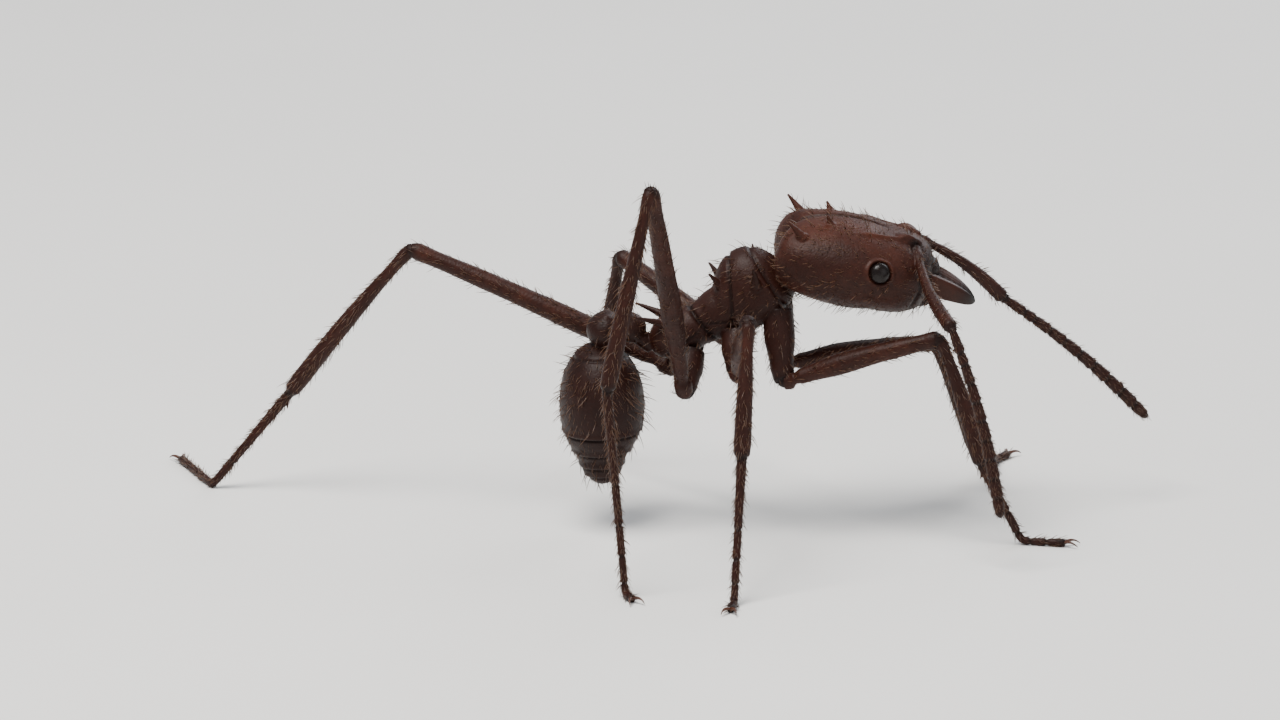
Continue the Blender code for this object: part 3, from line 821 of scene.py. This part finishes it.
class Skin:
    """One skin over the whole body, and what the bristles need of it."""

    def __init__(self, parts):
        self.parts = parts
        surfaces = [surface for part in parts for surface in part.surfaces]
        mesh = union(surfaces)
        edges = read(mesh.edges, "vertices", 2, np.int32)
        self.quads = read(mesh.loops, "vertex_index", 1, np.int32).reshape(-1, 4)
        degree = np.bincount(edges.ravel()).astype(float)
        self.points = relaxed(read(mesh.vertices, "co", 3), edges, degree, 3)
        sizes = [sum(len(verts) for verts, _ in part.surfaces) for part in parts]
        owners = np.repeat(np.arange(len(parts)), sizes)
        self.owner = owners[nearest(joined(surfaces)[0], self.points)]
        self.members = [np.flatnonzero(self.owner == index) for index in range(len(parts))]
        self.fit_limbs()
        write_points(mesh, self.points)
        rise = self.carve(read(mesh.vertex_normals, "vector", 3))
        write_points(mesh, self.points)
        self.normals = read(mesh.vertex_normals, "vector", 3)
        self.tone = self.tones(rise, edges, degree)
        self.atlas = Atlas(parts)
        self.atlas.unwrap(mesh, self.quads, self.points, self.owner)
        write_attribute(mesh, "tone", self.tone)
        write_points(mesh, self.points * MM)
        mesh.name = "skin"
        mesh.shade_smooth()
        mesh.materials.clear()
        self.object = link("skin", mesh)

    def fit_limbs(self):
        """Put the skin of the limbs at its exact radius, away from where they join the trunk."""
        for part, chosen in zip(self.parts, self.members):
            if isinstance(part, (Block, WaistPart)):
                continue
            place, _, foot, outward = part.path.measure(self.points[chosen])
            hold = smoothstep(0.0, 0.05, part.path.total - place)
            if part.kind in ROOT_FADES:
                hold *= smoothstep(*ROOT_FADES[part.kind], place)
            radius = part.radius(np.clip(place - part.start, 0.0, part.length))
            exact = foot + unit(outward) * radius[:, None]
            self.points[chosen] += (exact - self.points[chosen]) * hold[:, None]

    def carve(self, normals):
        """Move the skin of the trunk along its normals, and give how far each point rose."""
        rise = np.zeros(len(self.points))
        for part, chosen in zip(self.parts, self.members):
            if part.kind in RELIEFS:
                rise[chosen] = RELIEFS[part.kind](part.own(self.points[chosen]))
        self.points = self.points + normals * rise[:, None]
        self.points[:, 2] = np.maximum(self.points[:, 2], 0.0)
        return rise

    def tones(self, rise, edges, degree):
        """Darkness of the skin, softened; painted shade darkens the furrows and a painted highlight
        lightens the ridges.
        """
        tone = np.zeros(len(self.points))
        for part, chosen in zip(self.parts, self.members):
            tone[chosen] = part_tones(part, self.points[chosen])
        # Painted shade in the furrows and painted highlight on the ridges, from how far the skin was
        # carved.
        tone += np.clip(-rise * 9.0, 0.0, 0.5) - np.clip(rise * 4.0, 0.0, 0.12)
        for _ in range(4):
            tone = 0.5 * tone + 0.5 * averaged(tone, edges, degree)
        return np.clip(tone, 0.0, 1.0)


# ---- bristles


def sample_roots(skin, kinds, random):
    """Part, root, normal, lie, length and lift of bristles on some kinds of part."""
    corners = skin.points[skin.quads]
    diagonals = np.cross(corners[:, 2] - corners[:, 0], corners[:, 3] - corners[:, 1])
    area = 0.5 * np.linalg.norm(diagonals, axis=1)
    face_owner = skin.owner[skin.quads[:, 0]]
    found = []
    for index, part in enumerate(skin.parts):
        if part.kind not in kinds:
            continue
        faces = np.flatnonzero(face_owner == index)
        for density, length, lift in BRISTLES[part.kind]:
            count = int(density * area[faces].sum())
            picked = random.choice(faces, count, p=area[faces] / area[faces].sum())
            weights = random.random((count, 4)) + 0.05
            weights /= weights.sum(1, keepdims=True)
            root = (corners[picked] * weights[..., None]).sum(1)
            outward = unit((skin.normals[skin.quads[picked]] * weights[..., None]).sum(1))
            found.append((np.full(count, index), root, outward, part.lie(root),
                          np.full(count, length), np.full(count, float(lift))))
    columns = [np.concatenate(column) for column in zip(*found)]
    above_floor = columns[1][:, 2] > 0.02
    return [column[above_floor] for column in columns]


def bristle_faces():
    """Triangles of one bristle: its root, two bands and its tip."""
    faces = [(2, 1, 0)]
    for base in (0, 3):
        for k in range(3):
            low, after = base + k, base + (k + 1) % 3
            faces += [(low, after, after + 3), (low, after + 3, low + 3)]
    return np.array(faces + [(6, 7, 9), (7, 8, 9), (8, 6, 9)])


def grow(name, skin, kinds, random):
    """One mesh of curved, tapered bristles over some kinds of part."""
    part, root, outward, lie, length, lift = sample_roots(skin, kinds, random)
    count = len(root)
    sideways = unit(np.cross(outward, lie) + 1e-6)
    swing = random.normal(0.0, 0.35, count)[:, None]
    flat = unit(unit(np.cross(sideways, outward)) + sideways * swing)
    angle = np.radians(np.clip(lift + random.normal(0.0, 9.0, count), 8.0, 86.0))[:, None]
    aim = flat * np.cos(angle) + outward * np.sin(angle)
    length = (length * np.clip(random.normal(1.0, 0.22, count), 0.45, 1.6))[:, None]
    bend = unit(flat - outward * 0.35) * length * random.uniform(0.1, 0.32, count)[:, None]
    thick = BRISTLE_THICKNESS * np.sqrt(length / 0.12)
    across = unit(np.cross(aim, sideways + outward * 0.3))
    other = np.cross(aim, across)
    points = [root + aim * length * share + bend * max(share, 0.0) ** 2
              + (across * math.cos(turn) + other * math.sin(turn)) * thick * size
              for share, size in BRISTLE_RINGS for turn in circle(3)]
    verts = np.stack((*points, root + aim * length + bend), 1)
    verts[..., 2] = np.maximum(verts[..., 2], 0.003)
    faces = bristle_faces()
    every_face = (np.arange(count)[:, None, None] * verts.shape[1] + faces).reshape(-1, 3)
    coat = smooth_piece(name, verts.reshape(-1, 3), every_face.tolist())
    middle = np.zeros((count, 2))
    for index in np.unique(part):
        chosen = part == index
        owner = skin.parts[index]
        middle[chosen] = skin.atlas.place(owner, *owner.measure(root[chosen]))
    spots = np.stack((np.cos(circle(3)), np.sin(circle(3))), 1)
    offsets = np.concatenate((spots * 0.0015, spots * 0.001, spots * 0.0006, [(0.0, 0.0)]))
    write_map(coat.data, (middle[:, None] + offsets)[:, faces])
    # Each bristle takes the skin's tone at its root, painted shade and highlights included.
    tone = skin.tone[::7][nearest(skin.points[::7], root)]
    write_attribute(coat.data, "tone", np.repeat(tone, verts.shape[1]))
    write_attribute(coat.data, "tip", np.tile((0, 0, 0, 0.3, 0.3, 0.3, 0.7, 0.7, 0.7, 1.0), count))
    return coat


# ---- eyes, jaws and claws


def dome(height, turn):
    """Points of a unit sphere at some heights and turns."""
    ring = np.sqrt(1.0 - height ** 2)
    return np.stack((ring * np.cos(turn), ring * np.sin(turn), height + 0 * turn), -1)


def make_eye(side_name, side):
    """Compound eye with its facets."""
    outward = unit(mirrored(EYE_NORMAL, side))
    across = unit(np.cross((1, 0, 0), outward))
    other = np.cross(outward, across)
    direction = dome(np.sin(np.linspace(-0.3, np.pi / 2 - 0.01, 56))[:, None], circle(150))
    spiral = np.arange(EYE_FACETS) + 0.5
    facets = dome(1.0 - spiral / EYE_FACETS, spiral * GOLDEN_ANGLE)
    gap = np.sqrt(np.maximum(0.0, 2.0 - 2.0 * (direction @ facets.T).max(-1)))
    bulge = np.clip(0.014 * (1.0 - (gap / 0.07) ** 2), -0.02, 0.014)
    scaled = direction * (1.0 + bulge)[..., None] * (EYE_RADIUS, EYE_RADIUS, EYE_HEIGHT)
    points = mirrored(EYE_PLACE, side) + scaled @ np.stack((across, other, outward))
    return smooth_piece(f"eye_{side_name}_dome", *capped(placed(FRAMES["head"], points)))


def make_mandible(side_name, side):
    """Curved triangular jaw with striae on top and a row of teeth on its inner edge."""
    rows, columns = 190, 72
    v = np.linspace(0.0, 1.0, rows)
    x = MANDIBLE_LENGTH * (0.35 * np.sin(0.5 * np.pi * v) + 0.65 * v)
    share = x / MANDIBLE_LENGTH
    outer = MANDIBLE_WIDTH * np.clip(1.0 - share ** 2.1, 0.0, 1.0) ** 0.62 + 0.02 * (1 - share)
    phase = np.clip((share - 0.28) / 0.7, 0.0, 1.0) ** 1.15 * 7.0 + 0.25 * side
    tooth = (1.0 - np.abs(2.0 * (phase % 1.0) - 1.0) ** 1.3) * smoothstep(0.24, 0.32, share)
    depth = (0.065 + 0.03 * share) * tooth * smoothstep(1.0, 0.96, share)
    inner = 0.045 - 0.03 * smoothstep(0.9, 1.0, share)
    outer = np.maximum(outer, inner + 0.012)
    half = 0.5 * MANDIBLE_THICKNESS * (1.0 - 0.5 * share) * np.clip(1.0 - share ** 7, 0.02, 1.0) ** 0.5
    turn = circle(columns)
    around = 0.5 - 0.5 * np.cos(turn)
    lens = np.sign(np.sin(turn)) * np.abs(np.sin(turn)) ** 0.8 * (0.35 + 0.65 * around)
    y = inner[:, None] + (outer - inner)[:, None] * around - depth[:, None] * (1.0 - around) ** 9
    striae = 0.0028 * np.sin(around * 46.0 + 2.0 * share[:, None]) * np.clip(np.sin(turn), 0, 1)
    z = half[:, None] * lens + striae - 0.04 - MANDIBLE_DROOP * (share ** 2)[:, None]
    points = np.stack((np.repeat(x[:, None], columns, 1) + JAW_ROOT, y * side, z), -1)
    jaw = smooth_piece(f"jaw_{side_name}", *capped(placed(FRAMES["head"], points)))
    edge = np.exp(-(y - inner[:, None]) / 0.05) * smoothstep(0.1, 0.3, share)[:, None]
    tone = np.clip(0.25 + 0.75 * edge + 0.45 * smoothstep(0.55, 1.0, share)[:, None], 0, 1).ravel()
    write_attribute(jaw.data, "tone", np.concatenate((tone, (0.4, 1.0))))
    return jaw


def make_claws(leg, path):
    """The two hooked claws at the end of a foot."""
    end, across = path.points[-1], path.across[-1]
    along = unit(path.along[-1] * (1, 1, 0))
    share = np.linspace(0.0, 1.0, 26)
    radii = 0.03 * (1.0 - share) ** 0.75 + 0.0035
    hooks = []
    for side in (1, -1):
        spread = np.sin(share * 1.45) * 0.13 * side
        centres = end - along * 0.03 + np.outer(share * 0.27, along) + np.outer(spread, across)
        centres[:, 2] = end[2] + 0.05 * np.sin(share * 2.6) - (end[2] - 0.012) * share ** 2.2
        tangent = unit(np.gradient(centres, axis=0))
        sideways = unit(np.cross(tangent, (0, 0, 1)))
        hooks.append(capped(egg_rings(centres, sideways, np.cross(tangent, sideways), radii, 14)))
    points, faces = joined(hooks)
    points[:, 2] = np.maximum(points[:, 2], 0.0)
    return smooth_piece(f"claws_{leg}", points, faces)


# ---- materials


class Nodes:
    """A material made of joined shader nodes; scales are per metre."""

    def __init__(self, name):
        self.material = bpy.data.materials.new(name)
        self.material.use_nodes = True
        self.tree = self.material.node_tree
        self.coordinates = self.add("TexCoord", {}, "Object")

    def fill(self, node, inputs):
        """Set inputs of a node to numbers, or join them to outputs of other nodes."""
        for name, value in inputs.items():
            if isinstance(value, bpy.types.NodeSocket):
                self.tree.links.new(value, node.inputs[name])
            else:
                node.inputs[name].default_value = value

    def add(self, kind, inputs, output, **settings):
        """An output of a new node with its inputs and settings."""
        node = self.tree.nodes.new("ShaderNode" + kind)
        for name, value in settings.items():
            setattr(node, name, value)
        self.fill(node, inputs)
        return node.outputs[output]

    def noise(self, scale, detail=3.0):
        """Noise whose features are about 1 / scale across."""
        inputs = {"Vector": self.coordinates, "Scale": scale, "Detail": detail, "Roughness": 0.55}
        return self.add("TexNoise", inputs, "Fac")

    def cells(self, scale):
        """Distance to the middle of small cells."""
        inputs = {"Vector": self.coordinates, "Scale": scale}
        return self.add("TexVoronoi", inputs, "Distance", feature="SMOOTH_F1")

    def math(self, operation, first, second):
        """Arithmetic on outputs or numbers."""
        return self.add("Math", {0: first, 1: second}, 0, operation=operation)

    def attribute(self, name):
        """Number stored on the mesh."""
        return self.add("Attribute", {}, "Fac", attribute_name=name)

    def varied(self, value, scale, strength, detail=3.0):
        """A value with noise added evenly above and below it."""
        swing = self.math("SUBTRACT", self.noise(scale, detail), 0.5)
        return self.math("ADD", value, self.math("MULTIPLY", swing, strength))

    def ramp(self, value, stops):
        """Colour from a value."""
        output = self.add("ValToRGB", {"Fac": value}, "Color")
        elements = output.node.color_ramp.elements
        for place, _ in stops[1:-1]:
            elements.new(place)
        for element, (place, colour) in zip(elements, stops):
            element.position = place
            element.color = (*colour, 1.0)
        return output

    def spread(self, scale, low, high):
        """Noise between low and high."""
        return self.add("MapRange", {"Value": self.noise(scale), "To Min": low, "To Max": high}, "Result")

    def bump(self, height, distance, strength, **before):
        """Bump from a height, on top of the one before; distance is in metres."""
        inputs = {"Height": height, "Distance": distance, "Strength": strength, **before}
        return self.add("Bump", inputs, "Normal")

    def finish(self, value, stops, roughness, specular=0.5, **others):
        """The material, with its colour from a value and the shader's other inputs."""
        others |= {"Base Color": self.ramp(value, stops), "Roughness": roughness,
                   "Specular IOR Level": specular}
        self.fill(self.tree.nodes["Principled BSDF"], others)
        return self.material


def cuticle_material():
    """Reddish brown cuticle, finely netted and dull, darker where the tone says."""
    nodes = Nodes("cuticle")
    tone = nodes.varied(nodes.varied(nodes.attribute("tone"), 1700.0, 0.55, 4.0), 14000.0, 0.3)
    coarse = nodes.bump(nodes.noise(6500.0), 0.000012, 0.6)
    return nodes.finish(
        tone, ((0.0, (0.056, 0.0152, 0.008)), (0.3, (0.0235, 0.0062, 0.0036)),
               (0.62, (0.0125, 0.0034, 0.0021)), (1.0, (0.0035, 0.0012, 0.001))),
        nodes.spread(5200.0, 0.38, 0.62), 0.16,
        Normal=nodes.bump(nodes.cells(30000.0), 0.0000065, 0.8, Normal=coarse))


def jaw_material():
    """Hard dark cuticle, almost black at the teeth."""
    nodes = Nodes("jaw")
    return nodes.finish(
        nodes.varied(nodes.attribute("tone"), 4000.0, 0.4),
        ((0.0, (0.05, 0.014, 0.007)), (0.45, (0.018, 0.006, 0.004)), (1.0, (0.004, 0.003, 0.003))),
        nodes.spread(9000.0, 0.32, 0.52), 0.18, Normal=nodes.bump(nodes.noise(26000.0), 0.000006, 0.6))


def eye_material():
    """Black facets with a hard shine."""
    nodes = Nodes("eye")
    return nodes.finish(
        nodes.noise(9000.0), ((0.0, (0.003, 0.002, 0.002)), (1.0, (0.01, 0.006, 0.005))),
        nodes.spread(15000.0, 0.16, 0.28), 0.22, Normal=nodes.bump(nodes.cells(40000.0), 0.000002, 0.5))


def claw_material():
    """Dark amber claws."""
    nodes = Nodes("claw")
    return nodes.finish(
        nodes.noise(6000.0), ((0.2, (0.09, 0.028, 0.012)), (0.8, (0.03, 0.011, 0.007))),
        nodes.spread(12000.0, 0.2, 0.38), Normal=nodes.bump(nodes.noise(30000.0), 0.000003, 0.5))


def bristle_material():
    """Golden brown bristles, paler to their tips and darker where the skin is darker."""
    nodes = Nodes("bristle")
    value = nodes.math("SUBTRACT", nodes.math("MULTIPLY", nodes.attribute("tip"), 0.55),
                       nodes.math("MULTIPLY", nodes.attribute("tone"), 0.35))
    return nodes.finish(
        nodes.math("ADD", value, nodes.spread(3000.0, 0.15, 0.45)),
        ((0.0, (0.03, 0.012, 0.006)), (0.5, (0.095, 0.042, 0.019)), (1.0, (0.24, 0.13, 0.065))),
        nodes.spread(20000.0, 0.3, 0.45))


def floor_material():
    """Plain pale matt floor."""
    nodes = Nodes("floor")
    stops = ((0.3, (0.78, 0.77, 0.75)), (0.7, (0.82, 0.81, 0.79)))
    return nodes.finish(nodes.noise(60.0), stops, 0.8, 0.2)


# ---- stage


def aim_at(thing, place, aim):
    """Put a light or the camera at a place, turned to a point."""
    thing.location = place
    thing.rotation_mode = "QUATERNION"
    thing.rotation_quaternion = (Vector(aim) - Vector(place)).to_track_quat("-Z", "Y")


def add_light(name, place, size, power, colour):
    """Square area light; metres and watts."""
    light = bpy.data.lights.new(name, "AREA")
    aim_at(link(name, light, shape="SQUARE", size=size, energy=power, color=colour), place, LIGHT_AIM)


def make_stage():
    """Floor, world, lights, and a camera at the ant's right with a long lens."""
    camera = link("camera", bpy.data.cameras.new("camera"), lens=CAMERA_LENS, sensor_width=36.0,
                  clip_start=0.01, clip_end=10.0)
    aim_at(camera, np.array(CAMERA_AIM) + heading(-90.0, CAMERA_ELEVATION) * CAMERA_DISTANCE, CAMERA_AIM)
    bpy.context.scene.camera = camera
    floor = link_mesh("floor", [(-2, -2, 0), (2, -2, 0), (2, 2, 0), (-2, 2, 0)], [(0, 1, 2, 3)])
    floor.data.materials.append(floor_material())
    world = bpy.data.worlds.new("studio")
    world.use_nodes = True
    sky = world.node_tree.nodes["Background"].inputs
    sky["Color"].default_value = (0.8, 0.83, 0.88, 1.0)
    sky["Strength"].default_value = 0.62
    bpy.context.scene.world = world
    add_light("key", (-0.02, -0.02, 0.08), 0.045, 0.12, (1.0, 0.97, 0.93))
    add_light("back", (0.045, 0.07, 0.05), 0.05, 0.04, (0.92, 0.96, 1.0))
    add_light("fill", (0.07, -0.06, 0.03), 0.06, 0.012, (1.0, 0.98, 0.96))


# ---- the whole ant


def finish_piece(piece, material, slot, *nodes):
    """Material, body and replaced nodes of a piece; the slot is not used."""
    piece.data.materials.append(material)
    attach(piece, "root")
    if nodes:
        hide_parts(*nodes)


def main():
    """Load the frame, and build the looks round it."""
    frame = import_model()
    random = np.random.default_rng(SEED)
    skin = Skin(make_parts())
    flesh = [name for name in frame["nodes"] if not name.startswith(("eye", "mandible"))]
    finish_piece(skin.object, cuticle_material(), "cuticle", *flesh)
    bristle = bristle_material()
    finish_piece(grow("bristles_trunk", skin, TRUNK, random), bristle, "cuticle")
    finish_piece(grow("bristles_limbs", skin, LIMBS, random), bristle, "limb_cuticle")
    eye, jaw, claw = eye_material(), jaw_material(), claw_material()
    for side_name, side in SIDES.items():
        finish_piece(make_eye(side_name, side), eye, "eye", f"eye_{side_name}")
        finish_piece(make_mandible(side_name, side), jaw, "mandible", f"mandible_{side_name}")
    for part in skin.parts:
        if part.kind == "tarsus":
            finish_piece(make_claws(part.name.removeprefix("tarsus_"), part.path), claw, "mandible")
    make_stage()
    bpy.context.view_layer.update()


main()
